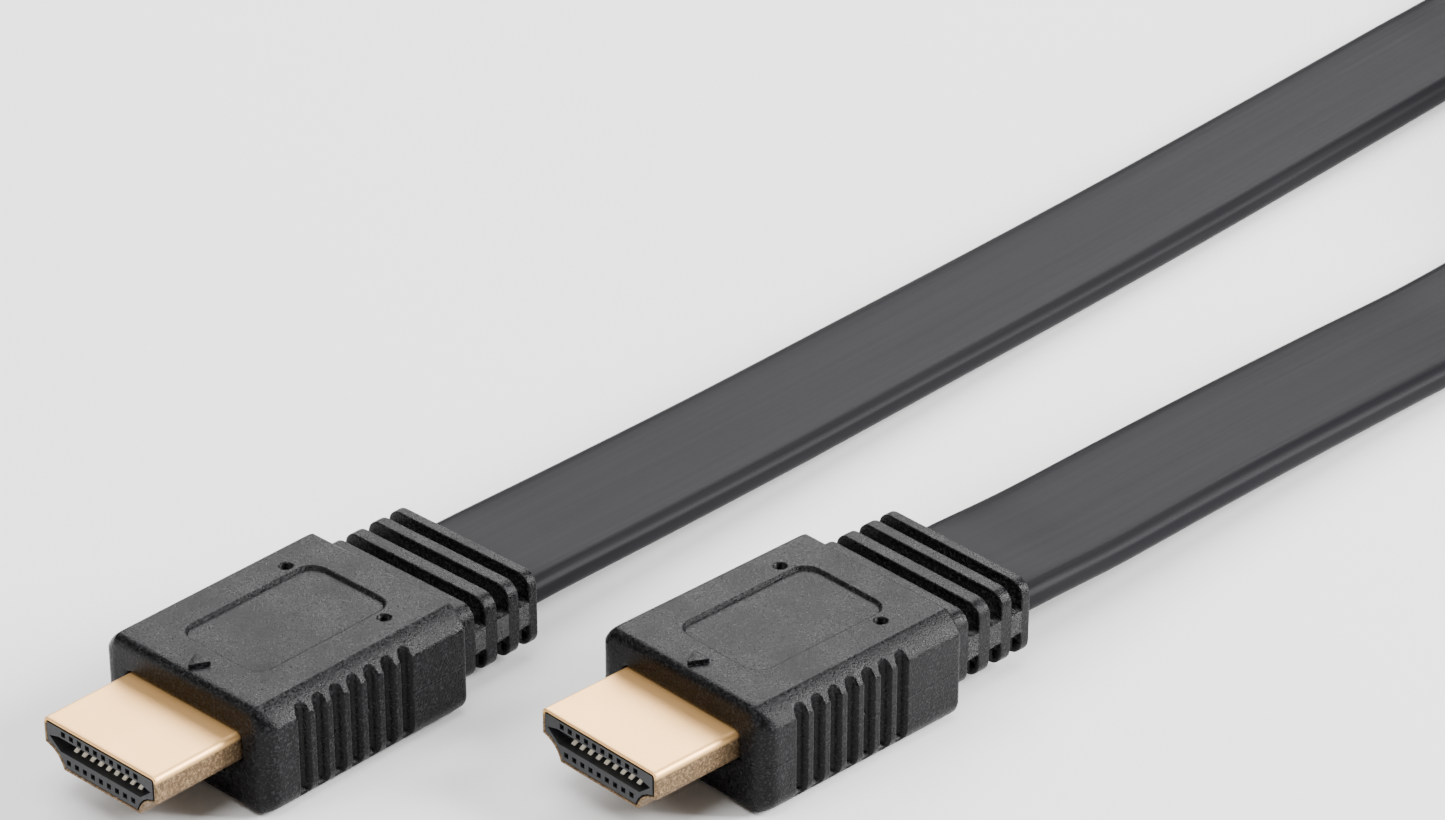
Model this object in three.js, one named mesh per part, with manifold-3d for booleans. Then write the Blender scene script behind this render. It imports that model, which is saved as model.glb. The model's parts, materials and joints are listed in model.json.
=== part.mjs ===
// A flat HDMI cable with a type A plug on each end, in millimetres, +Z up.
// Both plugs lie on their flat undersides with their mouths towards -Y, and the cable leaves them
// towards +Y. Each plug is drawn in a frame of its own: y = 0 at the mouth, z = 0 on the table.
import * as THREE from "three";
import { mergeVertices } from "three/addons/utils/BufferGeometryUtils.js";
import Module from "manifold-3d";

const wasm = await Module();
wasm.setup();

// Fits between pieces
const plugFit = 0.1;
const socketFit = 0.3;
const cableFit = 0.3;

// Metal shell
const shellWidth = 13.9;
const shellHeight = 4.45;
const shellWall = 0.3;
const shellSideHeight = 2.55;
const shellFootWidth = 9.5;
const shellNotch = { x: 5.3, below: 0.65 };
const shellCornerRadius = 0.5;
const shellLength = 9.2;
const socketDepth = 1.6;

// Moulded body
const bodyWidth = 20.5;
const bodyHeight = 10.3;
const bodyLength = 23;
const bodyCornerRadius = 1.8;
const bodyNoseRadius = 1.5;

// Finger grooves on both sides of the body
const grooveCount = 7;
const groovePitch = 1.95;
const grooveRadius = 0.5;
const grooveDepth = 0.65;
const grooveSetback = 4.25;
const grooveFoot = 1.7;

// Marks on the top of the body
const panelWidth = 10;
const panelLength = 15.2;
const panelDepth = 0.25;
const panelCornerRadius = 1.6;
const panelSetback = 4.2;
const pinHoleRadius = 0.55;
const pinHoleDepth = 1;
const pinHoleSpacing = 12.2;
const pinHoleSetback = 17.4;
const arrowWidth = 2;
const arrowLength = 1.7;
const arrowSetback = 0.8;
const arrowHeight = 0.3;

// Ribbed strain relief behind the body
const reliefWidth = 17.4;
const reliefHeight = 7.3;
const reliefLength = 10;
const reliefCornerRadius = 1.4;
const slotCount = 3;
const slotWidth = 1.25;
const slotPitch = 2.6;
const slotSetback = 2.45;
const slotSideWall = 0.5;
const slotTopWall = 0.6;
const bandHeight = 2.4;

// Plastic contact block in the shell, and its contacts
const tongueSlotRoof = { above: 0.93, width: 10.2 };
const tongueSlotTip = { above: 0.6, width: 12.6 };
const tongueSlotFloor = { above: -0.45, width: 9.9 };
const tongueSlotDepth = 8.2;
const blockTail = 0.3;
const contactPitch = 1;
const contactCounts = { upper: 10, lower: 9 };
const contactWidth = 0.45;
const contactThickness = 0.4;
const contactProud = 0.2;
const contactSetback = 1.2;
const pocketSide = 0.5;
const pocketDepth = 0.6;
const pocketAbove = { upper: 1.37, lower: -1.2 };

// Flat cable, and the coil that the rest of its length is wound into, standing on its edge
const cableWidth = 14.6;
const cableThickness = 3;
const coilRadius = 57.2;
const coilPlace = { x: 49.2, y: 268 };

// Places of the two plugs, and the direction that the second one points in
const plugBShift = { x: 30.55, y: 28.49, pivotY: 20 };
const plugBTurn = THREE.MathUtils.degToRad(-3.7);

const bodyFront = shellLength;
const bodyRear = bodyFront + bodyLength;
const reliefRear = bodyRear + reliefLength;
const midHeight = bodyHeight / 2;
const shellRear = bodyFront + socketDepth - socketFit;

const material = (color, roughness, metalness) =>
  new THREE.MeshStandardMaterial({ color, roughness, metalness });
const moulding = material(0x232327, 0.75, 0);
const jacket = material(0x1b1b1f, 0.4, 0);
const gold = material(0xd9a441, 0.25, 1);
const insulator = material(0x2a2a2d, 0.6, 0);

function solidOf(geometry) {
  const bare = geometry.clone();
  bare.deleteAttribute("normal");
  bare.deleteAttribute("uv");
  const merged = mergeVertices(bare, 1e-4);
  return new wasm.Manifold(new wasm.Mesh({
    numProp: 3,
    vertProperties: new Float32Array(merged.attributes.position.array),
    triVerts: new Uint32Array(merged.index.array),
  }));
}

function geometryOf(solid) {
  const mesh = solid.getMesh();
  const geometry = new THREE.BufferGeometry();
  geometry.setAttribute("position", new THREE.BufferAttribute(mesh.vertProperties, 3));
  geometry.setIndex(new THREE.BufferAttribute(mesh.triVerts, 1));
  geometry.computeVertexNormals();
  return geometry;
}

function meshOf(name, shape, finish) {
  const geometry = shape instanceof THREE.BufferGeometry ? shape : geometryOf(shape);
  const mesh = new THREE.Mesh(geometry, finish);
  mesh.name = name;
  return mesh;
}

// An outline drawn in X and Z, carried along +Y from one y to the other
function extrudeBack(outline, fromY, toY, options = {}) {
  const { curveSegments = 4, bevel = 0 } = options;
  const geometry = new THREE.ExtrudeGeometry(outline, {
    depth: toY - fromY - 2 * bevel,
    curveSegments,
    bevelEnabled: bevel > 0,
    bevelThickness: bevel,
    bevelSize: bevel,
    bevelOffset: -bevel,
    bevelSegments: 3,
  });
  return geometry.rotateX(Math.PI / 2).translate(0, toY - bevel, 0);
}

function boxBetween(low, high) {
  const size = high.map((value, axis) => value - low[axis]);
  const centre = high.map((value, axis) => (value + low[axis]) / 2);
  return solidOf(new THREE.BoxGeometry(...size).translate(...centre));
}

function cutFrom(solid, cutters) {
  return cutters.reduce((rest, cutter) => rest.subtract(cutter), solid);
}

function roundedRectangle(width, height, radius, centreY) {
  const x = width / 2;
  const low = centreY - height / 2;
  const high = centreY + height / 2;
  const outline = new THREE.Shape();
  outline.moveTo(-x + radius, low);
  outline.absarc(x - radius, low + radius, radius, -Math.PI / 2, 0);
  outline.absarc(x - radius, high - radius, radius, 0, Math.PI / 2);
  outline.absarc(-x + radius, high - radius, radius, Math.PI / 2, Math.PI);
  outline.absarc(-x + radius, low + radius, radius, Math.PI, 1.5 * Math.PI);
  return outline;
}

// The plug's section: wide at the top, with its lower corners scooped in to a narrow foot.
// The shares of the inset keep its outlines the same distance apart all round.
function plugSection(inset) {
  const top = midHeight + shellHeight / 2 - inset;
  const foot = midHeight - shellHeight / 2 + inset;
  const knee = midHeight + shellHeight / 2 - shellSideHeight + inset * 0.82;
  const half = shellWidth / 2 - inset;
  const footHalf = shellFootWidth / 2 - inset * 0.71;
  const scoop = [shellNotch.x - inset * 0.755, midHeight - shellNotch.below + inset * 0.87];
  const radius = Math.max(shellCornerRadius - inset, 0.15);
  const outline = new THREE.Shape();
  outline.moveTo(-footHalf, foot);
  outline.lineTo(footHalf, foot);
  outline.quadraticCurveTo(scoop[0], scoop[1], half, knee);
  outline.absarc(half - radius, top - radius, radius, 0, Math.PI / 2);
  outline.absarc(-half + radius, top - radius, radius, Math.PI / 2, Math.PI);
  outline.lineTo(-half, knee);
  outline.quadraticCurveTo(-scoop[0], scoop[1], -footHalf, foot);
  return outline;
}

function shell() {
  const outside = solidOf(extrudeBack(plugSection(0), 0, shellRear));
  const inside = solidOf(extrudeBack(plugSection(shellWall), -1, shellRear + 1));
  return outside.subtract(inside);
}

// Where the contacts of one row lie, seen along the plug
function contactRow(row) {
  const side = row === "upper" ? 1 : -1;
  const count = contactCounts[row];
  const wall = midHeight + (side > 0 ? tongueSlotRoof : tongueSlotFloor).above;
  const places = Array.from({ length: count }, (_, i) => (i - (count - 1) / 2) * contactPitch);
  return { side, wall, places };
}

function contact(row, x) {
  const { side, wall } = contactRow(row);
  const inner = wall - side * contactProud;
  const outer = inner + side * contactThickness;
  return boxBetween(
    [x - contactWidth / 2, contactSetback, Math.min(inner, outer)],
    [x + contactWidth / 2, tongueSlotDepth - plugFit, Math.max(inner, outer)],
  );
}

// The trough that a contact lies in, and the square pocket in the block's front face beyond it
function contactCuts(row) {
  const { side, wall, places } = contactRow(row);
  const troughHalf = contactWidth / 2 + plugFit;
  const troughEnd = wall + side * (contactThickness - contactProud + plugFit);
  const pocketMiddle = midHeight + pocketAbove[row];
  return places.flatMap((x) => [
    boxBetween(
      [x - troughHalf, contactSetback - plugFit, Math.min(wall - side * plugFit, troughEnd)],
      [x + troughHalf, tongueSlotDepth, Math.max(wall - side * plugFit, troughEnd)],
    ),
    boxBetween(
      [x - pocketSide / 2, -1, pocketMiddle - pocketSide / 2],
      [x + pocketSide / 2, pocketDepth, pocketMiddle + pocketSide / 2],
    ),
  ]);
}

function contactBlock() {
  const blank = solidOf(extrudeBack(plugSection(shellWall + plugFit), 0, shellRear - blockTail));
  const levels = [tongueSlotRoof, tongueSlotTip, tongueSlotFloor];
  const right = levels.map(({ width, above }) => new THREE.Vector2(width / 2, midHeight + above));
  const left = right.map(({ x, y }) => new THREE.Vector2(-x, y)).reverse();
  const tongueSlot = solidOf(extrudeBack(new THREE.Shape([...right, ...left]), -1, tongueSlotDepth));
  return cutFrom(blank, [tongueSlot, ...contactCuts("upper"), ...contactCuts("lower")]);
}

function bodyBlank() {
  const outline = roundedRectangle(bodyWidth, bodyHeight, bodyCornerRadius, midHeight);
  const long = extrudeBack(outline, bodyFront, bodyRear + 2 * bodyNoseRadius, { bevel: bodyNoseRadius });
  const reach = bodyWidth + bodyHeight;
  return solidOf(long).subtract(boxBetween([-reach, bodyRear, -reach], [reach, bodyRear + reach, reach]));
}

function shellSocket() {
  return solidOf(extrudeBack(plugSection(-socketFit), bodyFront - 1, bodyFront + socketDepth));
}

function gripGrooves() {
  const cutters = [];
  const height = bodyHeight + 1 - grooveFoot;
  for (const side of [-1, 1]) {
    for (let i = 0; i < grooveCount; i += 1) {
      const rod = new THREE.CylinderGeometry(grooveRadius, grooveRadius, height, 10);
      const x = side * (bodyWidth / 2 - grooveDepth + grooveRadius);
      const y = bodyFront + grooveSetback + i * groovePitch;
      cutters.push(solidOf(rod.rotateX(Math.PI / 2).translate(x, y, grooveFoot + height / 2)));
    }
  }
  return cutters;
}

// An outline drawn in X and Y, sunk from the top of the body to a depth
function sunkFromTop(outline, depth, curveSegments = 4) {
  const cutter = new THREE.ExtrudeGeometry(outline, { depth: depth + 1, curveSegments, bevelEnabled: false });
  return solidOf(cutter.translate(0, 0, bodyHeight - depth));
}

function topMarks() {
  const panelMiddle = bodyFront + panelSetback + panelLength / 2;
  const panel = roundedRectangle(panelWidth, panelLength, panelCornerRadius, panelMiddle);
  const holes = [-1, 1].map((side) => {
    const hole = new THREE.Shape();
    hole.absarc(side * pinHoleSpacing / 2, bodyFront + pinHoleSetback, pinHoleRadius, 0, 2 * Math.PI);
    return sunkFromTop(hole, pinHoleDepth, 12);
  });
  return [sunkFromTop(panel, panelDepth), ...holes];
}

// The small triangle that stands up from the top and points out of the plug's mouth
function arrow() {
  const outline = new THREE.Shape();
  const tip = bodyFront + arrowSetback;
  outline.moveTo(0, tip);
  outline.lineTo(arrowWidth / 2, tip + arrowLength);
  outline.lineTo(-arrowWidth / 2, tip + arrowLength);
  outline.closePath();
  const root = bodyNoseRadius / 2;
  const options = { depth: root + arrowHeight, bevelEnabled: false };
  return solidOf(new THREE.ExtrudeGeometry(outline, options).translate(0, 0, bodyHeight - root));
}

// Ribs stay where the slots are not cut: the cuts leave a core round the cable and a band each side
function strainRelief() {
  const outline = roundedRectangle(reliefWidth, reliefHeight, reliefCornerRadius, midHeight);
  const blank = solidOf(extrudeBack(outline, bodyRear - 1, reliefRear));
  const coreWidth = cableWidth + 2 * (cableFit + slotSideWall);
  const coreHeight = cableThickness + 2 * (cableFit + slotTopWall);
  const cutters = [];
  for (let i = 0; i < slotCount; i += 1) {
    const from = bodyRear + slotSetback + i * slotPitch;
    const to = from + slotWidth;
    const core = boxBetween(
      [-coreWidth / 2, from - 1, midHeight - coreHeight / 2],
      [coreWidth / 2, to + 1, midHeight + coreHeight / 2],
    );
    for (const side of [-1, 1]) {
      const near = midHeight + side * bandHeight / 2;
      const far = midHeight + side * reliefHeight;
      const slot = boxBetween(
        [-reliefWidth, from, Math.min(near, far)],
        [reliefWidth, to, Math.max(near, far)],
      );
      cutters.push(slot.subtract(core));
    }
  }
  return cutFrom(blank, cutters);
}

function overmold() {
  const body = bodyBlank().add(strainRelief()).add(arrow());
  return cutFrom(body, [shellSocket(), ...gripGrooves(), ...topMarks()]);
}

function plug(letter) {
  const group = new THREE.Group();
  group.add(meshOf(`overmold_${letter}`, overmold(), moulding));
  group.add(meshOf(`shell_${letter}`, shell(), gold));
  group.add(meshOf(`contact_block_${letter}`, contactBlock(), insulator));
  for (const row of ["upper", "lower"]) {
    contactRow(row).places.forEach((x, i) => {
      group.add(meshOf(`contact_${letter}_${row}_${i + 1}`, contact(row, x), gold));
    });
  }
  return group;
}

function cableSection() {
  const radius = cableThickness / 2;
  const x = cableWidth / 2 - radius;
  const outline = new THREE.Shape();
  outline.moveTo(-x, -radius);
  outline.absarc(x, 0, radius, -Math.PI / 2, Math.PI / 2);
  outline.absarc(-x, 0, radius, Math.PI / 2, 1.5 * Math.PI);
  return outline;
}

// A flat cable's path: it lies flat up to one y, and stands on its edge from the other y on
class FlatCableCurve extends THREE.CatmullRomCurve3 {
  constructor(points, flatTo, uprightFrom) {
    super(points.map((point) => new THREE.Vector3(...point)));
    this.flatTo = flatTo;
    this.uprightFrom = uprightFrom;
  }

  computeFrenetFrames(steps) {
    const up = new THREE.Vector3(0, 0, 1);
    const frames = { tangents: [], normals: [], binormals: [] };
    for (let i = 0; i <= steps; i += 1) {
      const tangent = this.getTangentAt(i / steps);
      const y = this.getPointAt(i / steps).y;
      const twist = THREE.MathUtils.smoothstep(y, this.flatTo, this.uprightFrom) * Math.PI / 2;
      const normal = new THREE.Vector3().crossVectors(up, tangent).normalize();
      normal.applyAxisAngle(tangent, twist);
      frames.tangents.push(tangent);
      frames.normals.push(normal);
      frames.binormals.push(new THREE.Vector3().crossVectors(tangent, normal));
    }
    return frames;
  }
}

function flatCable(path, steps) {
  return new THREE.ExtrudeGeometry(cableSection(), { steps, extrudePath: path, curveSegments: 5 });
}

// Height of the middle of the cable when it lies flat, is half turned, and stands on its edge
const flat = cableThickness / 2;
const upright = cableWidth / 2;

function cableLegA() {
  return flatCable(new FlatCableCurve([
    [0, reliefRear + cableFit, midHeight],
    [0, reliefRear + 4, midHeight],
    [-0.5, 60, 4.4],
    [-1.3, 80, 3.4],
    [-2.1, 100, 2.7],
    [-2.8, 120, 2.1],
    [-3.5, 142, flat + 0.2],
    [-4.2, 165, flat + 0.1],
    [-5, 190, flat + 0.1],
    [-5.5, 206, flat + 0.2],
    [-5.7, 216.5, 3.2],
    [-5.9, 227, 5.8],
    [-6.1, 237.5, upright],
    [-6.2, 248.2, upright],
  ], 206, 248), 30);
}

function cableLegB() {
  return flatCable(new FlatCableCurve([
    placeOnB(0, reliefRear + cableFit, midHeight),
    placeOnB(0, reliefRear + 4, midHeight),
    [32.3, 84, 4.5],
    [32.1, 98, 3.8],
    [32.1, 112, 3.2],
    [32.3, 130, 2.4],
    [32.5, 145, flat + 0.2],
    [32.5, 157, flat + 0.2],
    [32.4, 172, 3.2],
    [31.4, 187.5, 5.8],
    [26.4, 202.7, upright],
    [17.9, 218, upright],
  ], 157, 218), 26);
}

// A place in the second plug's own frame, carried to the table's
function placeOnB(x, y, z) {
  const turned = new THREE.Vector3(x, y - plugBShift.pivotY, z);
  turned.applyAxisAngle(new THREE.Vector3(0, 0, 1), plugBTurn);
  return [turned.x + plugBShift.x, turned.y + plugBShift.pivotY + plugBShift.y, turned.z];
}

// The wound length, as one disc that fills the coil's outer shape
function cableCoil() {
  const height = cableWidth;
  const edge = cableThickness / 2;
  const profile = [
    new THREE.Vector2(0, 0),
    new THREE.Vector2(coilRadius - edge, 0),
    new THREE.Vector2(coilRadius, edge),
    new THREE.Vector2(coilRadius, height - edge),
    new THREE.Vector2(coilRadius - edge, height),
    new THREE.Vector2(0, height),
  ];
  const disc = new THREE.LatheGeometry(profile, 72);
  return disc.rotateX(Math.PI / 2).translate(coilPlace.x, coilPlace.y, 0);
}

const group = new THREE.Group();
const plugA = plug("a");
const plugB = plug("b");
plugB.position.set(...placeOnB(0, 0, 0));
plugB.rotation.z = plugBTurn;
group.add(plugA, plugB);

// The origin is on the table, under the middle of the two plugs
group.updateMatrixWorld(true);
const middle = new THREE.Box3().setFromObject(group, true).getCenter(new THREE.Vector3());
group.add(meshOf("cable_leg_a", cableLegA(), jacket));
group.add(meshOf("cable_leg_b", cableLegB(), jacket));
group.add(meshOf("cable_coil", solidOf(cableCoil()), jacket));
group.position.set(-middle.x, -middle.y, 0);

export default group;
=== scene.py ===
import json
import math

import bpy
import numpy as np
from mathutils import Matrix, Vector


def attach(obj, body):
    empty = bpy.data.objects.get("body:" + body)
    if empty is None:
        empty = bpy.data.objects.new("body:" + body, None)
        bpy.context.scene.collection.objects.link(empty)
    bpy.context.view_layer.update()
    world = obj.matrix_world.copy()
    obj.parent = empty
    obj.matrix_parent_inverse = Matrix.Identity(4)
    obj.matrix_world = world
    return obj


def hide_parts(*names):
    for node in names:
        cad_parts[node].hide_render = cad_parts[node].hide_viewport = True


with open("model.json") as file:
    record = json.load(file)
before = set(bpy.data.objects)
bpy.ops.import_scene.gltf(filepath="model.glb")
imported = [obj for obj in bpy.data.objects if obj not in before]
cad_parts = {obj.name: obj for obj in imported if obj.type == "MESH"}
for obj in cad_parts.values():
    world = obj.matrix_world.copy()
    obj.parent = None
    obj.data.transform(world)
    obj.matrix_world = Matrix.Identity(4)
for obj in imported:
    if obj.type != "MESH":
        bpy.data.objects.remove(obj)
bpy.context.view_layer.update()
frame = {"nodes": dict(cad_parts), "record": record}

mm = 0.001
uvUnit = 10.0   # a piece's own UV map counts centimetres

# Each plug has a frame of its own: y = 0 at its mouth, +Y towards the cable, z = 0 on the table.
# The mouth's mount gives its place: 0.5 mm to the side of the middle, and facing out of the mouth.
mouthPointSide = 0.5


def plugPlace(letter):
    mount = next(m for m in frame["record"]["mounts"] if m["name"] == f"plug_{letter}_mouth")
    back = -np.array(mount["axis"])
    side = np.array([back[1], -back[0], 0.0])
    origin = np.array(mount["pos_m"]) - side * mouthPointSide * mm
    origin[2] = 0.0
    return origin, side, back


def toPlug(points, letter):  # millimetres in a plug's frame to metres on the table
    origin, side, back = plugPlace(letter)
    p = np.asarray(points, float) * mm
    return origin + p[..., :1] * side + p[..., 1:2] * back + p[..., 2:] * np.array([0.0, 0.0, 1.0])


camera = {
    "target": (-3.53, 78.78, 5.0),   # in the first plug's frame, at the middle of the picture
    "azimuth": 42.91,
    "elevation": 29.53,
    "distance": 462.4,
    "focalPixels": 5000.0,
    "pictureWidth": 1445,
}


def makeCamera():
    c = camera
    az, el = math.radians(c["azimuth"]), math.radians(c["elevation"])
    back = Vector((math.sin(az) * math.cos(el), -math.cos(az) * math.cos(el), math.sin(el)))
    target = Vector(toPlug(c["target"], "a"))
    data = bpy.data.cameras.new("camera")
    data.sensor_width = 36.0
    data.lens = c["focalPixels"] / c["pictureWidth"] * data.sensor_width
    data.clip_start, data.clip_end = 0.01, 20.0
    obj = bpy.data.objects.new("camera", data)
    obj.location = target + back * c["distance"] * mm
    obj.rotation_euler = back.to_track_quat("Z", "Y").to_euler()
    bpy.context.scene.collection.objects.link(obj)
    bpy.context.scene.camera = obj


makeCamera()
print("camera made")


# Quads between neighbouring points of a rows by columns grid; a closed way wraps round
def gridFaces(rows, columns, closeRows, closeColumns):
    r = np.arange(rows if closeRows else rows - 1)
    c = np.arange(columns if closeColumns else columns - 1)
    r, c = np.meshgrid(r, c, indexing="ij")
    r2, c2 = (r + 1) % rows, (c + 1) % columns
    quads = np.stack([r * columns + c, r * columns + c2, r2 * columns + c2, r2 * columns + c], -1)
    return quads.reshape(-1, 4)


# Sum of the signed tetrahedra from the origin: above zero when the faces point outwards
def enclosedVolume(points, quads):
    a, b, c, d = (points[quads[:, i]] for i in range(4))
    return (np.einsum("ij,ij->i", a, np.cross(b, c)) + np.einsum("ij,ij->i", a, np.cross(c, d))).sum()


# A closed piece from a grid of points in metres; open ends get one flat cap each
def pieceFromGrid(name, grid, closeRows=False, closeColumns=True, uv=None):
    rows, columns = grid.shape[:2]
    points = grid.reshape(-1, 3)
    quads = gridFaces(rows, columns, closeRows, closeColumns)
    centred = points - points.mean(axis=0)
    flip = enclosedVolume(centred, quads) < 0
    if flip:
        quads = quads[:, ::-1]
    faces = quads.tolist()
    if not closeRows:
        first = list(range(columns))
        last = list(range((rows - 1) * columns, rows * columns))
        faces += [first, last[::-1]] if flip else [first[::-1], last]
    mesh = bpy.data.meshes.new(name)
    mesh.from_pydata(points.tolist(), [], faces)
    if uv is not None:
        layer = mesh.uv_layers.new(name="UVMap")
        vertex = np.empty(len(mesh.loops), dtype=np.int32)
        mesh.loops.foreach_get("vertex_index", vertex)
        layer.data.foreach_set("uv", uv.reshape(-1, 2)[vertex].astype(np.float32).ravel())
    mesh.shade_smooth()
    mesh.update()
    obj = bpy.data.objects.new(name, mesh)
    bpy.context.scene.collection.objects.link(obj)
    return obj


def smoothStep(x, low, high):
    t = np.clip((np.asarray(x, float) - low) / (high - low), 0.0, 1.0)
    return t * t * (3.0 - 2.0 * t)


# A material with one Principled shader, its constants set on the shader's own sockets
def newLook(name, **values):
    look = bpy.data.materials.new(name)
    look.use_nodes = True
    shader = look.node_tree.nodes["Principled BSDF"]
    for socketName, value in values.items():
        shader.inputs[socketName.replace("_", " ")].default_value = value
    return look, look.node_tree, shader


# A node with its properties and sockets set; links name a socket and the output that feeds it
def addNode(tree, kind, links=None, **values):
    node = tree.nodes.new("ShaderNode" + kind)
    for key, value in values.items():
        if hasattr(node, key):
            setattr(node, key, value)
        else:
            node.inputs[key.replace("_", " ")].default_value = value
    for key, source in (links or {}).items():
        tree.links.new(source, node.inputs[key])
    return node


def ramp(tree, source, stops):
    node = addNode(tree, "ValToRGB", {"Fac": source})
    elements = node.color_ramp.elements
    while len(elements) < len(stops):
        elements.new(0.5)
    for element, (place, grey) in zip(elements, stops):
        element.position = place
        element.color = (*grey, 1.0) if isinstance(grey, tuple) else (grey, grey, grey, 1.0)
    return node.outputs["Color"]


mouldingSettings = {
    "grainScale": 4300.0,
    "fineScale": 9500.0,
    "cloudScale": 260.0,
    "cloudShare": 0.35,
    "grainDepth": 0.00005,
    "roughness": 0.34,
    "specular": 0.11,
    "dark": (0.0018, 0.0018, 0.0021),
    "middle": (0.0042, 0.0042, 0.0048),
    "light": (0.025, 0.025, 0.0265),
}


def makeMouldingLook():
    s = mouldingSettings
    look, tree, shader = newLook("moulding_look", Specular_IOR_Level=s["specular"])
    place = addNode(tree, "TexCoord").outputs["Object"]
    grain = addNode(tree, "TexNoise", {"Vector": place}, Scale=s["grainScale"], Detail=2.0, Roughness=0.6)
    fine = addNode(tree, "TexNoise", {"Vector": place}, Scale=s["fineScale"], Detail=1.0)
    cloud = addNode(tree, "TexNoise", {"Vector": place}, Scale=s["cloudScale"], Detail=2.0)
    # The light grains are partly the grain's own tone and partly painted glints, standing in for the sparkle
    # of glossy facets
    colour = ramp(tree, grain.outputs["Fac"], [(0.38, s["dark"]), (0.54, s["middle"]), (0.7, s["light"])])
    tree.links.new(colour, shader.inputs["Base Color"])
    # The gloss varies from grain to grain, and a little over the whole piece
    uneven = addNode(tree, "Math", {0: cloud.outputs["Fac"], 2: grain.outputs["Fac"]},
                     operation="MULTIPLY_ADD")
    uneven.inputs[1].default_value = s["cloudShare"]
    rough = ramp(tree, uneven.outputs[0], [(0.5, s["roughness"] - 0.12), (0.85, s["roughness"] + 0.14)])
    tree.links.new(rough, shader.inputs["Roughness"])
    height = addNode(tree, "Math", {0: grain.outputs["Fac"], 1: fine.outputs["Fac"]}, operation="ADD")
    bump = addNode(tree, "Bump", {"Height": height.outputs[0]}, Strength=0.8, Distance=s["grainDepth"])
    tree.links.new(bump.outputs["Normal"], shader.inputs["Normal"])
    return look


jacketSettings = {
    "streakScale": (26.0, 0.22, 1.0),   # across the cable, along it
    "grainScale": 3500.0,
    "specular": 0.018,
    "dark": (0.010, 0.010, 0.0115),
    "light": (0.016, 0.016, 0.017),
    "roughness": (0.29, 0.33),
    "waveDepth": 0.00008,
    "grainDepth": 0.00002,
}


def makeJacketLook():
    s = jacketSettings
    look, tree, shader = newLook("jacket_look", Specular_IOR_Level=s["specular"])
    uv = addNode(tree, "TexCoord").outputs["UV"]
    stretch = addNode(tree, "Mapping", {"Vector": uv})
    stretch.inputs["Scale"].default_value = s["streakScale"]
    streak = addNode(tree, "TexNoise", {"Vector": stretch.outputs["Vector"]}, Scale=1.0, Detail=3.0)
    place = addNode(tree, "TexCoord").outputs["Object"]
    grain = addNode(tree, "TexNoise", {"Vector": place}, Scale=s["grainScale"], Detail=2.0)
    colour = ramp(tree, streak.outputs["Fac"], [(0.3, s["dark"]), (0.7, s["light"])])
    tree.links.new(colour, shader.inputs["Base Color"])
    rough = ramp(tree, streak.outputs["Fac"], [(0.3, s["roughness"][0]), (0.7, s["roughness"][1])])
    tree.links.new(rough, shader.inputs["Roughness"])
    wave = addNode(tree, "Bump", {"Height": streak.outputs["Fac"]}, Strength=0.2, Distance=s["waveDepth"])
    fine = addNode(tree, "Bump", {"Height": grain.outputs["Fac"], "Normal": wave.outputs["Normal"]},
                   Strength=0.12, Distance=s["grainDepth"])
    tree.links.new(fine.outputs["Normal"], shader.inputs["Normal"])
    return look


goldSettings = {
    "cloudScale": 160.0,
    "scuffScale": 4200.0,
    "metallic": 0.8,
    "plain": ((0.88, 0.52, 0.20), (0.93, 0.56, 0.23)),
    # painted shade: the side walls' dark brown colours stand in for dark reflections, with scuff grain in
    # them
    "scuffAndPaintedShade": ((0.06, 0.038, 0.02), (0.14, 0.09, 0.046), (0.44, 0.29, 0.16)),
    "paintedShadeBelow": (0.375, 0.41),   # height up the shell in centimetres, where the painted shade of the side walls ends
    "roughness": (0.48, 0.46),    # plain, side walls with scuffs and painted shade
    "scuffDepth": 0.00002,
}


def makeGoldLook():
    s = goldSettings
    look, tree, shader = newLook("gold_look", Metallic=s["metallic"])
    uv = addNode(tree, "TexCoord").outputs["UV"]
    place = addNode(tree, "TexCoord").outputs["Object"]
    height = addNode(tree, "SeparateXYZ", {"Vector": uv}).outputs["X"]
    cloud = addNode(tree, "TexNoise", {"Vector": place}, Scale=s["cloudScale"], Detail=2.0)
    scuff = addNode(tree, "TexNoise", {"Vector": place}, Scale=s["scuffScale"], Detail=5.0, Roughness=0.75)
    plain = ramp(tree, cloud.outputs["Fac"], list(zip((0.3, 0.7), s["plain"])))
    scuffAndPaintedShade = ramp(tree, scuff.outputs["Fac"], list(zip((0.3, 0.5, 0.7), s["scuffAndPaintedShade"])))
    # The side walls are scuffed and carry painted shade, browner and darker, from just under the rounded top
    # edge
    shadeAndScuffMask = ramp(tree, height, [(s["paintedShadeBelow"][0], 1.0), (s["paintedShadeBelow"][1], 0.0)])
    colour = addNode(tree, "MixRGB", {"Fac": shadeAndScuffMask, "Color1": plain, "Color2": scuffAndPaintedShade})
    tree.links.new(colour.outputs["Color"], shader.inputs["Base Color"])
    rough = ramp(tree, shadeAndScuffMask, [(0.0, s["roughness"][0]), (1.0, s["roughness"][1])])
    tree.links.new(rough, shader.inputs["Roughness"])
    bump = addNode(tree, "Bump", {"Height": scuff.outputs["Fac"], "Strength": shadeAndScuffMask},
                   Distance=s["scuffDepth"])
    tree.links.new(bump.outputs["Normal"], shader.inputs["Normal"])
    return look


contactSettings = {
    "cloudScale": 2500.0,
    "metallic": 0.12,
    # The pale cream colours, barely metallic, are partly the plating's colour and partly painted highlight
    # standing in for the strips' reflections
    "colours": ((0.97, 0.86, 0.68), (0.99, 0.93, 0.79)),
    "roughness": (0.3, 0.42),
}


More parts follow.
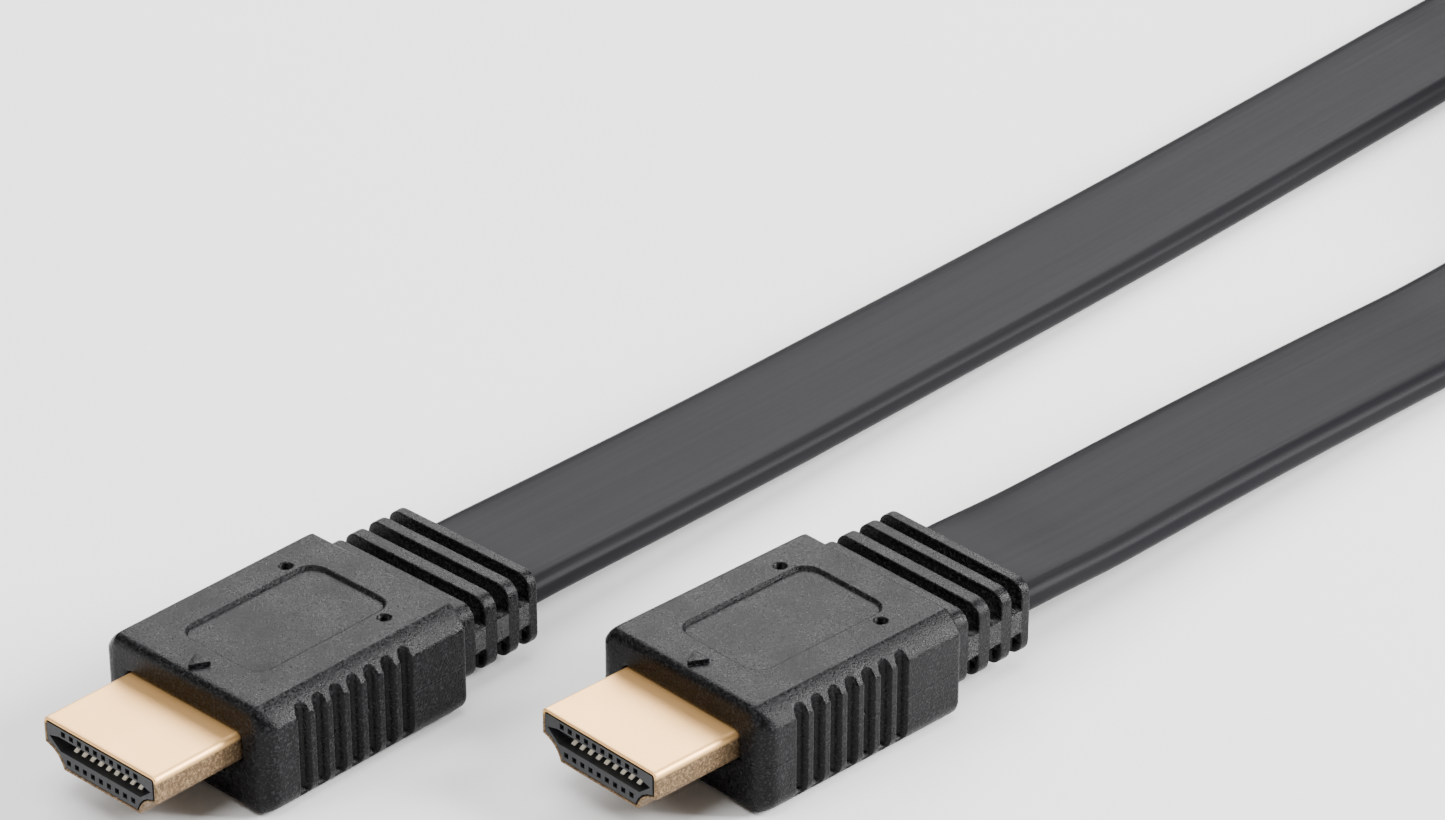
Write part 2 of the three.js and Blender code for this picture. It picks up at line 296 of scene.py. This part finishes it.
def makeContactLook():
    s = contactSettings
    look, tree, shader = newLook("contact_look", Metallic=s["metallic"])
    place = addNode(tree, "TexCoord").outputs["Object"]
    cloud = addNode(tree, "TexNoise", {"Vector": place}, Scale=s["cloudScale"], Detail=2.0)
    colour = ramp(tree, cloud.outputs["Fac"], list(zip((0.3, 0.7), s["colours"])))
    tree.links.new(colour, shader.inputs["Base Color"])
    rough = ramp(tree, cloud.outputs["Fac"], list(zip((0.3, 0.7), s["roughness"])))
    tree.links.new(rough, shader.inputs["Roughness"])
    return look


insulatorSettings = {
    "grainScale": 4000.0,
    "grainDepth": 0.00002,
    "ior": 1.4,
    "colours": ((0.012, 0.0125, 0.014), (0.019, 0.0195, 0.0215)),
    "roughness": (0.42, 0.55),
}


def makeInsulatorLook():
    s = insulatorSettings
    look, tree, shader = newLook("insulator_look", IOR=s["ior"])
    place = addNode(tree, "TexCoord").outputs["Object"]
    grain = addNode(tree, "TexNoise", {"Vector": place}, Scale=s["grainScale"], Detail=2.0)
    colour = ramp(tree, grain.outputs["Fac"], list(zip((0.3, 0.7), s["colours"])))
    tree.links.new(colour, shader.inputs["Base Color"])
    rough = ramp(tree, grain.outputs["Fac"], list(zip((0.3, 0.7), s["roughness"])))
    tree.links.new(rough, shader.inputs["Roughness"])
    bump = addNode(tree, "Bump", {"Height": grain.outputs["Fac"]}, Strength=0.2, Distance=s["grainDepth"])
    tree.links.new(bump.outputs["Normal"], shader.inputs["Normal"])
    return look


mouldingLook = makeMouldingLook()
jacketLook = makeJacketLook()
goldLook = makeGoldLook()
contactLook = makeContactLook()
insulatorLook = makeInsulatorLook()
print("materials made")


# Flat cable, in millimetres in the first plug's frame: one leg's points, the coil, the other leg's
cable = {
    "width": 14.6,
    "thickness": 3.0,
    "faceFall": 0.07,
    "legA": [
        (0, 41.2, 5.15), (0, 46.2, 5.15), (-0.5, 60, 4.4), (-1.3, 80, 3.4), (-2.1, 100, 2.7),
        (-2.8, 120, 2.1), (-3.5, 142, 1.7), (-4.2, 165, 1.6), (-5, 190, 1.6), (-5.5, 206, 1.7),
        (-5.7, 216.5, 3.2), (-5.9, 227, 5.8), (-6.1, 237.5, 7.3), (-6.2, 248.2, 7.3),
    ],
    "legBInPlugFrame": [(0, 41.2, 5.15), (0, 46.2, 5.15)],
    "legB": [
        (32.3, 84, 4.5), (32.1, 98, 3.8), (32.1, 112, 3.2), (32.3, 130, 2.4), (32.5, 145, 1.7),
        (32.5, 157, 1.7), (32.4, 172, 3.2), (31.4, 187.5, 5.8), (26.4, 202.7, 7.3), (17.9, 218, 7.3),
        (9.6, 232, 7.3), (3.2, 247, 7.3),
    ],
    "twistA": (206.0, 248.0),
    "twistB": (157.0, 218.0),
    "coilPlace": (49.2, 268.0),
    "coilInner": 44.0,
    "coilPitch": 6.0,
    "coilTurn": 5.96,
    "ringsPerSpan": 12,
    "ringSpacing": 1.25,
    "standsAfter": 250.0,    # the cable stands on its edge from here along leg a
    "standsBefore": 230.0,   # to here before the end of leg b
    "armStep": 24.0,         # degrees between the points of the coil's arms
    "bendStep": 30.0,        # and of its middle bends
}


# Two spirals of one pitch, half a turn apart, joined in the middle by an S of two half circles
def coilPoints():
    c = cable
    inner, pitch, turn = c["coilInner"], c["coilPitch"], c["coilTurn"]
    start = math.pi - turn

    def place(radius, angle, centre=(0.0, 0.0)):
        return (c["coilPlace"][0] + centre[0] + radius * math.cos(angle),
                c["coilPlace"][1] + centre[1] + radius * math.sin(angle), c["width"] / 2)

    step = math.radians(c["armStep"])
    armA = [place(inner + pitch * a / math.pi, start + a) for a in np.arange(turn, step / 2, -step)]
    armB = [place(inner + pitch * a / math.pi, start + math.pi + a)
            for a in np.arange(0.0, turn - math.pi + 1e-6, step)]
    half = (inner / 2 * math.cos(start), inner / 2 * math.sin(start))
    across = np.arange(0.0, math.pi, math.radians(c["bendStep"]))
    first = [place(inner / 2, start - a, half) for a in across]
    second = [place(inner / 2, start + a, (-half[0], -half[1])) for a in across]
    return armA + first + second + armB


# A smooth curve through the points: straight blends between neighbours, blended again twice, on knots
# spaced by the square root of the distance from point to point
def smoothCurve(points, perSpan):
    p = np.asarray(points, float)
    p = np.vstack([2 * p[0] - p[1], p, 2 * p[-1] - p[-2]])
    knots = np.concatenate([[0.0], np.cumsum(np.linalg.norm(np.diff(p, axis=0), axis=1) ** 0.5)])
    spans = np.arange(1, len(p) - 2)
    share = np.linspace(0.0, 1.0, perSpan, endpoint=False)
    t = (knots[spans][:, None] + share * (knots[spans + 1] - knots[spans])[:, None])[..., None]
    k = [knots[spans + i][:, None, None] for i in (-1, 0, 1, 2)]
    q = [p[spans + i][:, None, :] for i in (-1, 0, 1, 2)]

    def blend(a, b, ka, kb):
        return (kb - t) / (kb - ka) * a + (t - ka) / (kb - ka) * b

    a = [blend(q[i], q[i + 1], k[i], k[i + 1]) for i in range(3)]
    b = [blend(a[i], a[i + 1], k[i], k[i + 2]) for i in range(2)]
    curve = blend(b[0], b[1], k[1], k[2]).reshape(-1, 3)
    return np.vstack([curve, p[-2]])


# The same curve with its points one spacing apart along it
def evenly(points, spacing):
    along = np.concatenate([[0.0], np.cumsum(np.linalg.norm(np.diff(points, axis=0), axis=1))])
    count = int(round(along[-1] / spacing)) + 1
    places = np.linspace(0.0, along[-1], count)
    return np.stack([np.interp(places, along, points[:, i]) for i in range(3)], -1), along[-1]


def cableRoute():
    legB = [tuple(toFirst(p)) for p in cable["legBInPlugFrame"]] + cable["legB"]
    return cable["legA"] + coilPoints() + legB[::-1]


def toFirst(point):  # the second plug's frame to the first plug's, both in millimetres
    origin, side, back = plugPlace("a")
    offset = toPlug(point, "b") - origin
    return offset @ side / mm, offset @ back / mm, offset[2] / mm


# A flat band with half-round edges and faces that fall away near them by a sixth power
def cableSection(width, thickness, roundSteps=12, flatSteps=28):
    fall = cable["faceFall"] * thickness / 2
    radius = thickness / 2 - fall
    half = width / 2 - radius
    a = np.linspace(-math.pi / 2, math.pi / 2, roundSteps + 1)
    right = np.stack([half + radius * np.cos(a), radius * np.sin(a)], -1)
    x = np.linspace(half, -half, flatSteps + 1)[1:-1]
    top = np.stack([x, thickness / 2 - fall * (np.abs(x) / half) ** 6], -1)
    return np.vstack([right, top, -right, -top])


# The section carried along the route, with its width level or turned a quarter to stand up
def makeCable():
    c = cable
    path, length = evenly(smoothCurve(cableRoute(), c["ringsPerSpan"]), c["ringSpacing"])
    tangent = np.gradient(path, axis=0)
    tangent /= np.linalg.norm(tangent, axis=1)[:, None]
    along = np.linspace(0.0, length, len(path))
    inLegA = along < length / 2
    twistA = smoothStep(path[:, 1], *c["twistA"])
    twistB = smoothStep(path[:, 1], *c["twistB"])
    middle = (along > c["standsAfter"]) & (along < length - c["standsBefore"])
    turn = np.where(middle, 1.0, np.where(inLegA, twistA, twistB)) * math.pi / 2
    side = np.cross(tangent, np.array([0.0, 0.0, 1.0]))
    side /= np.linalg.norm(side, axis=1)[:, None]
    top = np.cross(side, tangent)
    sign = np.where(inLegA, 1.0, -1.0)
    # The second half has its section turned half round, so that the halves meet without a twist
    across = side * (np.cos(turn) * sign)[:, None] - top * np.sin(turn)[:, None]
    up = side * np.sin(turn)[:, None] + top * (np.cos(turn) * sign)[:, None]
    section = cableSection(c["width"], c["thickness"])
    grid = path[:, None, :] + section[None, :, :1] * across[:, None, :]
    grid = grid + section[None, :, 1:] * up[:, None, :]
    uv = np.empty(grid.shape[:2] + (2,))
    uv[..., 0] = section[None, :, 0] / c["width"] + 0.5
    uv[..., 1] = along[:, None] / uvUnit
    origin = plugPlace("a")[0]
    widest = np.linalg.norm(np.diff(grid, axis=0), axis=2).max()
    print("widest step between the cable's rings, mm:", round(float(widest), 2))
    piece = pieceFromGrid("flat_cable", grid * mm + origin, uv=uv)
    print("cable length, mm:", round(length, 1))
    return piece, path * mm + origin


cablePiece, cablePath = makeCable()
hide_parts("cable_leg_a", "cable_leg_b", "cable_coil")
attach(cablePiece, "root")
tuple(toPlug((0, 42.2, 5.15), "a"))
cablePiece.data.materials.append(jacketLook)
print("cable made")


# Plugs, in millimetres in each plug's frame
body = {
    "front": 9.2, "rear": 32.2, "half": (10.25, 5.15), "corner": 1.8, "rearEdge": 0.45,
    "nose": (1.6, 0.8),   # the front edges' rounding, at the sides and on top
    "middle": 5.15, "stationStep": 0.13, "topColumns": 150, "bottomColumns": 26, "cornerSteps": 12,
    "cornerFlat": 0.7,    # how far the long top edges go from a round to a chamfer
    "sideRows": 34,
    "groove": {"count": 7, "pitch": 1.95, "setback": 4.25, "radius": 0.6, "depth": 0.8,
               "foot": (0.65, 1.25)},   # heights between which a groove fades in
    "panel": {"half": (5.0, 7.6), "setback": 11.8, "corner": 1.6, "depth": 0.32, "wall": 0.06},
    "pinHole": {"x": 6.1, "setback": 17.4, "radius": 0.5, "depth": 1.0, "wall": 0.07},
    "arrow": {"half": 1.0, "length": 1.75, "setback": 0.75, "height": 0.36, "root": 0.9, "corner": 0.06},
    "seam": {"height": 4.87, "half": 0.09, "proud": 0.035},
    # flash left on the seam, in the grooves of one side: groove, how proud, how far above the seam
    "specks": ((0, 0.14, 0.1), (1, 0.13, -0.05), (2, 0.12, -0.1), (3, 0.16, 0.05), (4, 0.5, 0.25),
               (6, 0.17, 0.1)),
    "speck": {"before": 0.2, "length": 0.2, "height": 0.22},
}
socket = {"gap": 0.16, "depth": 1.6, "lip": 0.1}
relief = {
    "rear": 42.2, "half": (8.7, 3.65), "corner": 1.4, "core": (7.75, 2.1), "band": 1.2, "edge": 0.14,
    "plates": ((32.2, 34.65), (35.89, 37.29), (38.66, 39.93), (41.15, 42.2)),
    "holeGap": 0.12, "holeDepth": 1.6, "bandMargin": 0.5,
}
shell = {
    "half": 6.95, "top": 2.225, "knee": -0.325, "scoop": (5.3, -0.65), "foot": 4.75, "corner": 0.5,
    "wall": 0.3, "rear": 10.5, "rim": 0.13,
}


# Places round a unit rectangle's core and the outward normals there: rounded corners in between
def sectionParts():
    b = body
    corner = np.linspace(0.0, math.pi / 2, b["cornerSteps"] + 1)
    top = np.linspace(1.0, -1.0, b["topColumns"])[1:-1]
    bottom = np.linspace(-1.0, 1.0, b["bottomColumns"])[1:-1]
    seam = (b["seam"]["height"] - b["middle"]) / (b["half"][1] - b["corner"])
    reach = b["seam"]["half"] / (b["half"][1] - b["corner"])
    fine = np.array([-1.6, -1.0, -0.5, 0.0, 0.5, 1.0, 1.6]) * reach
    side = np.union1d(np.linspace(-1.0, 1.0, b["sideRows"])[1:-1], seam + fine)
    core, normal, bevel = [], [], []

    def add(x, z, nx, nz, bent=None):
        core.append(np.stack(np.broadcast_arrays(x, z), -1).reshape(-1, 2))
        normal.append(np.stack(np.broadcast_arrays(nx, nz), -1).reshape(-1, 2))
        bevel.append(normal[-1] if bent is None else bent)

    def addCorner(x, z, start):
        share = corner / corner[-1]
        first = np.array([math.cos(start), math.sin(start)])
        last = np.array([-math.sin(start), math.cos(start)])
        chord = first + (last - first) * share[:, None]
        arc = np.stack([np.cos(start + corner), np.sin(start + corner)], -1)
        flat = b["cornerFlat"] if z > 0 else 0.0
        bent = arc + (chord - arc) * flat
        add(np.full(len(corner), x), z, arc[:, 0], arc[:, 1], bent)

    add(1.0, side, np.ones(len(side)), 0.0)
    addCorner(1.0, 1.0, 0.0)
    add(top, 1.0, 0.0, np.ones(len(top)))
    addCorner(-1.0, 1.0, math.pi / 2)
    add(-1.0, side[::-1], -np.ones(len(side)), 0.0)
    addCorner(-1.0, -1.0, math.pi)
    add(bottom, -1.0, 0.0, -np.ones(len(bottom)))
    addCorner(1.0, -1.0, 1.5 * math.pi)
    return np.vstack(core), np.vstack(normal), np.vstack(bevel)


coreXZ, normalXZ, bevelXZ = sectionParts()


# A rounded rectangle about the section's middle, its corners bent as the outward steps say
def ring(half, corner, outward):
    return coreXZ * (np.array(half) - corner) + outward * corner


# Where the rays from the middle in these directions cross a closed outline that they see
def onOutline(outline, directions):
    a, b = outline, np.roll(outline, -1, axis=0)
    d = directions / np.linalg.norm(directions, axis=1)[:, None]
    e = b - a
    cross = d[:, None, 0] * e[None, :, 1] - d[:, None, 1] * e[None, :, 0]
    cross = np.where(np.abs(cross) < 1e-12, 1e-12, cross)
    t = (a[None, :, 0] * e[None, :, 1] - a[None, :, 1] * e[None, :, 0]) / cross
    s = (a[None, :, 0] * d[:, None, 1] - a[None, :, 1] * d[:, None, 0]) / cross
    t = np.where((s >= -1e-9) & (s <= 1.0 + 1e-9) & (t > 0.0), t, np.inf)
    return d * t.min(axis=1)[:, None]


# The shell's section: wide at the top, with its lower corners scooped in to a narrow foot. The
# shares of the inset keep the outlines at one distance from each other
def shellOutline(inset, steps=12):
    s = shell
    half, top = s["half"] - inset, s["top"] - inset
    foot = np.array([s["foot"] - 0.71 * inset, -s["top"] + inset])
    knee = np.array([half, s["knee"] + 0.82 * inset])
    scoop = np.array([s["scoop"][0] - 0.755 * inset, s["scoop"][1] + 0.87 * inset])
    t = np.linspace(0.0, 1.0, steps + 1)[:, None]
    curve = (1 - t) ** 2 * foot + 2 * t * (1 - t) * scoop + t ** 2 * knee
    radius = max(s["corner"] - inset, 0.15)
    side = np.stack([np.full(5, half), np.linspace(knee[1], top - radius, 7)[1:-1]], -1)
    a = np.linspace(0.0, math.pi / 2, steps + 1)
    corner = np.stack([half - radius + radius * np.cos(a), top - radius + radius * np.sin(a)], -1)
    right = np.vstack([curve, side, corner])
    flatTop = np.stack([np.linspace(half - radius, 0.0, 20)[1:], np.full(19, top)], -1)
    flatFoot = np.stack([np.linspace(0.0, foot[0], 14)[1:-1], np.full(12, foot[1])], -1)
    right = np.vstack([flatFoot, right, flatTop])
    return np.vstack([right, (right * (-1, 1))[::-1][1:]])


# Distance to a rounded rectangle's edge: below zero inside it
def roundBoxDistance(x, y, half, corner):
    q = np.stack([np.abs(x) - half[0] + corner, np.abs(y) - half[1] + corner], -1)
    outside = np.linalg.norm(np.maximum(q, 0.0), axis=-1)
    return outside + np.minimum(q.max(axis=-1), 0.0) - corner


def inside(distance, wall):
    return 1.0 - smoothStep(distance, -wall, wall)


# How far the top lies below its plane, in the recess and in the pin holes
def topRelief(x, y):
    b = body
    p, h = b["panel"], b["pinHole"]
    y = np.broadcast_to(y - b["front"], x.shape)
    panel = roundBoxDistance(x, y - p["setback"], p["half"], p["corner"])
    hole = np.hypot(np.abs(x) - h["x"], y - h["setback"]) - h["radius"]
    return -p["depth"] * inside(panel, p["wall"]) - h["depth"] * inside(hole, h["wall"])


# The body's outline at each station, with its grooves, seam and top marks worked into it
def bodyRings():
    b, g = body, body["groove"]
    turn = np.linspace(0.0, math.pi / 2, 11)
    nose = b["front"] + max(b["nose"]) * (1.0 - np.cos(turn))
    rear = b["rear"] - b["rearEdge"] * (1.0 - np.cos(turn[::-2]))
    plain = np.arange(b["front"] + max(b["nose"]), b["rear"] - b["rearEdge"], b["stationStep"])
    y = np.union1d(np.union1d(nose, rear), plain)
    y = y[np.concatenate([[True], np.diff(y) > 0.02])]
    radii = np.array(b["nose"])
    ahead = np.clip(radii - (y - b["front"])[:, None], 0.0, None)
    behind = np.clip(b["rearEdge"] - (b["rear"] - y), 0.0, None)[:, None]
    inset = (radii - np.sqrt(np.clip(radii ** 2 - ahead ** 2, 0.0, None))
             + b["rearEdge"] - np.sqrt(np.clip(b["rearEdge"] ** 2 - behind ** 2, 0.0, None)))
    base = ring(b["half"], b["corner"], bevelXZ)
    xz = base[None] - bevelXZ[None] * inset[:, None, :]
    x, z = xz[..., 0], xz[..., 1]
    onTop = (normalXZ[:, 1] > 0.99)[None, :]
    z = z + np.where(onTop, topRelief(x, y[:, None]), 0.0)
    onSide = (np.abs(normalXZ[:, 0]) > 0.99)[None, :]
    seamAway = np.abs(z + b["middle"] - b["seam"]["height"]) / b["seam"]["half"]
    x = x + np.where(onSide, np.sign(x) * b["seam"]["proud"] * np.clip(1.0 - seamAway, 0.0, 1.0), 0.0)
    places = (y[:, None] - b["front"] - g["setback"]) / g["pitch"]
    nearest = np.clip(np.round(places), 0, g["count"] - 1)
    away = np.abs(places - nearest) * g["pitch"]
    cut = b["half"][0] - g["depth"] + g["radius"] - np.sqrt(np.clip(g["radius"] ** 2 - away ** 2, 0.0, None))
    cut = np.where(away < g["radius"], cut, np.inf)
    lift = smoothStep(z + b["middle"], *g["foot"])
    limited = np.minimum(np.abs(x), cut)
    x = np.sign(x) * (np.abs(x) + (limited - np.abs(x)) * lift)
    for groove, size, above in b["specks"]:
        spot = b["front"] + g["setback"] + groove * g["pitch"] - b["speck"]["before"]
        rise = z + b["middle"] - b["seam"]["height"] - above
        r = np.hypot((y[:, None] - spot) / b["speck"]["length"], rise / b["speck"]["height"])
        x = x + np.where(onSide & (x > 0.0), size * np.exp(-r ** 2), 0.0)
    return y, np.stack([x, z], -1)


# Plates with rounded edges, and between them a core with a band left at mid height on each side
def reliefRings():
    r = relief
    rows, stations = [], []
    outline = ring(r["half"], r["corner"], normalXZ)
    core = np.clip(outline, -np.array(r["core"]), np.array(r["core"]))
    band = np.abs(outline[:, 1]) < r["band"]
    slot = np.where(band[:, None], outline, core)
    for i, (start, end) in enumerate(r["plates"]):
        turn = np.linspace(0.0, math.pi / 2, 5)
        lead = start + r["edge"] * (1.0 - np.cos(turn)) if i else np.array([start, start + 0.3])
        trail = end - r["edge"] * (1.0 - np.cos(turn[::-1]))
        y = np.concatenate([lead, np.linspace(lead[-1], trail[0], 5)[1:-1], trail])
        ahead = np.clip(r["edge"] - (y - start), 0.0, None) * (i > 0)
        behind = np.clip(r["edge"] - (end - y), 0.0, None)
        depth = 2 * r["edge"] - np.sqrt(r["edge"] ** 2 - ahead ** 2) - np.sqrt(r["edge"] ** 2 - behind ** 2)
        if i:
            rows.append(slot)
            stations.append(start)
        last = i == len(r["plates"]) - 1
        for station, d in zip(y, depth):
            inward = outline - normalXZ * d
            whole = ((i > 0 or station > start + r["bandMargin"])
                     and (not last or station < end - r["bandMargin"]))   # the band runs on here
            rows.append(np.where(band[:, None] & whole, outline, inward))
            stations.append(station)
        if not last:
            rows.append(slot)
            stations.append(end)
    return np.array(stations), np.array(rows)


# One closed skin: socket, front face, body, strain relief, and the hole that the cable enters
def makeOvermold(letter):
    b = body
    bodyY, bodyXZ = bodyRings()
    reliefY, reliefXZ = reliefRings()
    front = bodyXZ[0]
    mouth = onOutline(shellOutline(-socket["gap"]), front)
    wide = onOutline(shellOutline(-socket["gap"] - socket["lip"]), front)
    hole = onOutline(cableSection(cable["width"] + 2 * relief["holeGap"],
                                  cable["thickness"] + 2 * relief["holeGap"]), reliefXZ[-1])
    share = np.linspace(0.0, 1.0, 7)[:, None, None]
    face = wide + (front - wide) * share
    step = bodyXZ[-1] + (reliefXZ[0] - bodyXZ[-1]) * np.linspace(0.0, 1.0, 5)[1:-1, None, None]
    rearFace = reliefXZ[-1] + (hole - reliefXZ[-1]) * np.linspace(0.0, 1.0, 5)[1:, None, None]
    deep, lip = socket["depth"], socket["lip"]
    rows = [mouth[None], mouth[None], mouth[None], face[:-1], bodyXZ, step, reliefXZ, rearFace, hole[None]]
    stations = [[b["front"] + deep], [b["front"] + deep * 0.5], [b["front"] + lip],
                np.full(len(face) - 1, b["front"]), bodyY, np.full(len(step), b["rear"]), reliefY,
                np.full(len(rearFace), relief["rear"]), [relief["rear"] - relief["holeDepth"]]]
    xz = np.concatenate(rows)
    y = np.concatenate(stations)
    grid = np.stack([xz[..., 0], np.broadcast_to(y[:, None], xz.shape[:2]), xz[..., 1] + b["middle"]], -1)
    piece = pieceFromGrid(f"moulding_{letter}", toPlug(grid, letter))
    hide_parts(f"overmold_{letter}")
    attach(piece, "root")
    piece.data.materials.append(mouldingLook)


# A triangle with softened corners: its outline at rising heights, drawn in at the top edge
def makeArrow(letter):
    a = body["arrow"]
    tip = body["front"] + a["setback"]
    corners = np.array([(0.0, tip), (a["half"], tip + a["length"]), (-a["half"], tip + a["length"])])
    middle = corners.mean(axis=0)
    ends = np.concatenate([corners, corners[:1]])
    share = np.linspace(0.0, 1.0, 14)[:-1, None]
    outline = np.concatenate([ends[i] + (ends[i + 1] - ends[i]) * share for i in range(3)])
    away = np.linalg.norm(outline - middle, axis=1)[:, None]
    outline = middle + (outline - middle) * (1.0 - a["corner"] * (away / away.max()) ** 6)
    levels = ((-a["root"], 0.0), (0.0, 0.0), (a["height"] - 0.05, 0.0), (a["height"] - 0.015, 0.018),
              (a["height"], 0.06))
    grid = np.array([np.column_stack([middle + (outline - middle) * (1.0 - inward),
                                      np.full(len(outline), 2 * body["middle"] + level)])
                     for level, inward in levels])
    piece = pieceFromGrid(f"arrow_{letter}", toPlug(grid, letter))
    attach(piece, "root")
    piece.data.materials.append(mouldingLook)


contact = {
    "width": 0.46, "thickness": 0.16, "corner": 0.05, "tip": 0.7, "rear": 8.1, "pitch": 1.0,
    "rows": {"upper": (10, 0.93, 1), "lower": (9, -0.45, -1)},   # count, wall's height, outward side
    # along the plug from the tip, and how far the strip's face stands out of the wall there
    "path": ((0.0, -0.05), (0.1, 0.06), (0.45, 0.26), (0.75, 0.32), (1.3, 0.3), (2.6, 0.2), (7.2, 0.1)),
}


# A sprung strip: a rounded rectangle carried along a bowed path that rises out of its trough
def makeContact(letter, row, index):
    c = contact
    count, wall, outward = c["rows"][row]
    x = (index - (count - 1) / 2) * c["pitch"]
    knots = np.array(c["path"])
    t = np.concatenate([np.linspace(0.0, 1.4, 22), np.linspace(1.7, c["rear"] - c["tip"], 8)])
    rise = np.interp(t, knots[:, 0], knots[:, 1])
    rise[1:-1] = (rise[:-2] + 2 * rise[1:-1] + rise[2:]) / 4
    a = np.linspace(0.0, 2 * math.pi, 17)[:-1]
    corner = c["corner"]
    sx = np.sign(np.cos(a)) * (c["width"] / 2 - corner) + corner * np.cos(a)
    sz = np.sign(np.sin(a)) * (c["thickness"] / 2 - corner) + corner * np.sin(a)
    z = body["middle"] + wall - outward * (rise - c["thickness"] / 2)
    grid = np.stack(np.broadcast_arrays(x + sx, (c["tip"] + t)[:, None], z[:, None] + sz), -1)
    node = f"contact_{letter}_{row}_{index + 1}"
    piece = pieceFromGrid(f"strip_{letter}_{row}_{index + 1}", toPlug(grid, letter))
    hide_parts(node)
    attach(piece, "root")
    piece.data.materials.append(contactLook)


# The shell's section carried along the plug: outer wall, rounded rim, inner wall, one closed ring
def makeShell(letter):
    s = shell
    turn = np.linspace(0.0, math.pi, 9)
    half = s["wall"] / 2
    rim = np.stack([half - half * np.cos(turn), s["rim"] * (1.0 - np.sin(turn))], -1)
    outer = np.stack([np.zeros(30), np.linspace(s["rear"], s["rim"], 31)[:-1]], -1)
    inner = np.stack([np.full(10, s["wall"]), np.linspace(s["rim"], s["rear"], 11)[1:]], -1)
    profile = np.vstack([outer, rim, inner])
    xz = np.array([shellOutline(inset) for inset in profile[:, 0]])
    y = np.broadcast_to(profile[:, 1][:, None], xz.shape[:2])
    grid = np.stack([xz[..., 0], y, xz[..., 1] + body["middle"]], -1)
    uv = np.stack([xz[..., 1] + s["top"], y], -1) / uvUnit
    piece = pieceFromGrid(f"shell_skin_{letter}", toPlug(grid, letter), closeRows=True, uv=uv)
    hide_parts(f"shell_{letter}")
    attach(piece, "root")
    piece.data.materials.append(goldLook)


for plugLetter in "ab":
    makeOvermold(plugLetter)
    makeArrow(plugLetter)
    makeShell(plugLetter)
    for row in contact["rows"]:
        for index in range(contact["rows"][row][0]):
            makeContact(plugLetter, row, index)
    print("plug made:", plugLetter)


def dressNode(name, look):
    obj = bpy.data.objects[name]
    if not obj.material_slots:
        obj.data.materials.append(look)
    for slot in obj.material_slots:
        slot.material = look


for nodeName in frame["nodes"]:
    if nodeName.startswith("contact_block"):
        dressNode(nodeName, insulatorLook)


floor = {"half": 3.0, "top": -0.0001, "cloudScale": 3.0, "grey": (0.86, 0.88), "roughness": 0.9}   # metres


def makeFloor():
    half, z = floor["half"], floor["top"]
    mesh = bpy.data.meshes.new("floor")
    corners = [(-half, -half, z), (half, -half, z), (half, half, z), (-half, half, z)]
    mesh.from_pydata(corners, [], [(0, 1, 2, 3)])
    look, tree, shader = newLook("floor_look", Roughness=floor["roughness"])
    place = addNode(tree, "TexCoord").outputs["Object"]
    cloud = addNode(tree, "TexNoise", {"Vector": place}, Scale=floor["cloudScale"])
    colour = ramp(tree, cloud.outputs["Fac"], list(zip((0.3, 0.7), floor["grey"])))
    tree.links.new(colour, shader.inputs["Base Color"])
    mesh.materials.append(look)
    obj = bpy.data.objects.new("floor", mesh)
    bpy.context.scene.collection.objects.link(obj)


lights = (
    # name, azimuth, elevation, distance m, size m, watts
    ("overhead", 0.0, 84.0, 1.3, (1.0, 1.0), 19.0),
    ("behindLeft", 222.9, 36.0, 1.3, (0.8, 0.6), 19.0),
    ("behindRight", 134.0, 26.0, 1.3, (0.45, 0.75), 58.0),
    ("front", 340.0, 32.0, 1.5, (0.4, 0.4), 6.5),
)


lightsAim = (0.0, 0.03, 0.0)
worldStrength = 0.25


def makeLights():
    for name, azimuth, elevation, distance, size, watts in lights:
        az, el = math.radians(azimuth), math.radians(elevation)
        away = Vector((math.sin(az) * math.cos(el), -math.cos(az) * math.cos(el), math.sin(el)))
        data = bpy.data.lights.new(name, "AREA")
        data.shape = "RECTANGLE"
        data.size, data.size_y = size
        data.energy = watts
        obj = bpy.data.objects.new(name, data)
        obj.location = Vector(lightsAim) + away * distance
        obj.rotation_euler = away.to_track_quat("Z", "Y").to_euler()
        bpy.context.scene.collection.objects.link(obj)
    world = bpy.data.worlds.new("world")
    world.use_nodes = True
    world.node_tree.nodes["Background"].inputs["Color"].default_value = (1.0, 1.0, 1.0, 1.0)
    world.node_tree.nodes["Background"].inputs["Strength"].default_value = worldStrength
    bpy.context.scene.world = world


makeFloor()
makeLights()
print("stage made")
